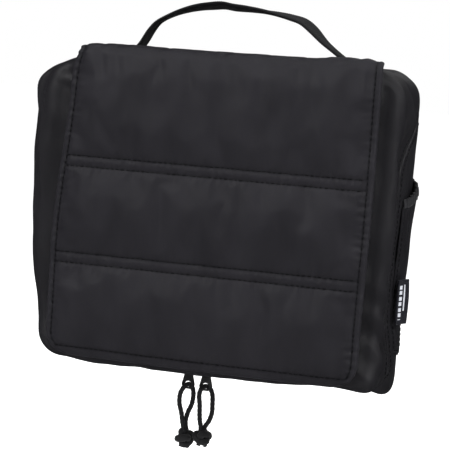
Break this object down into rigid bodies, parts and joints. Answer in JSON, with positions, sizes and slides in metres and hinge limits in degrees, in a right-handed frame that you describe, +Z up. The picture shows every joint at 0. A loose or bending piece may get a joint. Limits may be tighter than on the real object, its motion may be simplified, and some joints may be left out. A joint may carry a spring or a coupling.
{
  "type": "hanging toiletry bag",
  "caption": "Soft hanging toiletry bag: padded quilted cover flap, carry handle, fold-away hook, side pockets and a U-shaped zip with two cord pulls.",
  "frame": {"origin": "under the middle of the carry handle, where a hand, hook or rail holds the bag", "axes": "+Z up, -Y towards the front flap, +X to the right of someone facing the flap"},
  "size_m": [0.2532, 0.0941, 0.3023],
  "materials": {
    "shell_fabric": "satin black woven polyester with a soft sheen",
    "flap_fabric": "satin black woven polyester, padded and quilted",
    "lining_fabric": "plain dark grey woven lining",
    "foam": "thin closed-cell foam board",
    "webbing": "black ribbed webbing and elastic",
    "zip_tape": "black knitted zip tape",
    "zip_metal": "satin black lacquered zip parts",
    "paracord": "black braided cord",
    "plastic": "satin black moulded plastic",
    "label": "black woven label with plain pale bars, no lettering"
  },
  "bodies": {
    "front_case": {"front_panel": "shell_fabric", "front_foam": "foam", "back_yoke": "shell_fabric", "top_panel": "shell_fabric", "front_gusset_left": "shell_fabric", "front_gusset_right": "shell_fabric", "front_base": "shell_fabric", "front_zip_tape": "zip_tape", "front_zip_chain": "zip_metal", "case_fastener_strip": "webbing", "front_inner_pocket": "lining_fabric", "front_pocket_elastic": "webbing", "handle_anchor_left": "webbing", "handle_anchor_right": "webbing"},
    "handle": {"carry_handle": "webbing"},
    "flap_top": {"flap_top_pad": "flap_fabric", "flap_top_lining": "lining_fabric"},
    "flap_front": {"flap_front_pad": "flap_fabric", "flap_front_lining": "lining_fabric", "flap_binding": "flap_fabric", "flap_fastener_strip": "webbing"},
    "rear_case": {"back_panel": "shell_fabric", "back_foam": "foam", "rear_gusset_left": "shell_fabric", "rear_gusset_right": "shell_fabric", "rear_base": "shell_fabric", "rear_zip_tape": "zip_tape", "rear_zip_chain": "zip_metal", "side_pocket_left": "shell_fabric", "side_pocket_right": "shell_fabric", "side_pocket_elastic_left": "webbing", "side_pocket_elastic_right": "webbing", "rear_inner_pocket": "lining_fabric", "rear_pocket_elastic": "webbing", "bottle_loop_band": "webbing", "side_label": "label", "hook_anchor_patch": "webbing"},
    "hook": {"hook_strap": "webbing", "hanging_hook": "plastic"},
    "slider_left": {"zip_slider_left": "zip_metal"},
    "tab_left": {"pull_tab_left": "zip_metal"},
    "cord_left": {"pull_cord_left": "paracord", "cord_knot_left": "paracord"},
    "slider_right": {"zip_slider_right": "zip_metal"},
    "tab_right": {"pull_tab_right": "zip_metal"},
    "cord_right": {"pull_cord_right": "paracord", "cord_knot_right": "paracord"}
  },
  "joints": [
    {"name": "handle_swing", "type": "hinge", "parent": "front_case", "child": "handle", "pos_m": [0, 0, -0.023], "axis": [-1, 0, 0], "range_deg": [-60, 80]},
    {"name": "flap_lift", "type": "hinge", "parent": "front_case", "child": "flap_top", "pos_m": [0, -0.014, -0.028], "axis": [-1, 0, 0], "range_deg": [0, 90]},
    {"name": "flap_unfold", "type": "hinge", "parent": "flap_top", "child": "flap_front", "pos_m": [0, -0.07, -0.028], "axis": [-1, 0, 0], "range_deg": [0, 90]},
    {"name": "rear_case_open", "type": "hinge", "parent": "front_case", "child": "rear_case", "pos_m": [0, 0.015, -0.058], "axis": [1, 0, 0], "range_deg": [0, 100]},
    {"name": "hook_fold", "type": "hinge", "parent": "rear_case", "child": "hook", "pos_m": [0, 0.0206, -0.0695], "axis": [-1, 0, 0], "range_deg": [-180, 0]},
    {"name": "zip_slide_left", "type": "slide", "parent": "front_case", "child": "slider_left", "axis": [-1, 0, 0], "range_m": [0, 0.077]},
    {"name": "tab_swing_left", "type": "hinge", "parent": "slider_left", "child": "tab_left", "pos_m": [-0.0165, -0.025, -0.2446], "axis": [0, 1, 0], "range_deg": [0, 60]},
    {"name": "cord_swing_left", "type": "hinge", "parent": "tab_left", "child": "cord_left", "pos_m": [-0.0165, -0.025, -0.2564], "axis": [0, 1, 0], "range_deg": [0, 25]},
    {"name": "zip_slide_right", "type": "slide", "parent": "front_case", "child": "slider_right", "axis": [1, 0, 0], "range_m": [0, 0.092]},
    {"name": "tab_swing_right", "type": "hinge", "parent": "slider_right", "child": "tab_right", "pos_m": [-0.004, -0.025, -0.2446], "axis": [0, -1, 0], "range_deg": [0, 60]},
    {"name": "cord_swing_right", "type": "hinge", "parent": "tab_right", "child": "cord_right", "pos_m": [-0.004, -0.025, -0.2564], "axis": [0, -1, 0], "range_deg": [0, 25]}
  ],
  "couplings": [
    {"joint": "flap_unfold", "follows": "flap_lift", "ratio": 1}
  ]
}
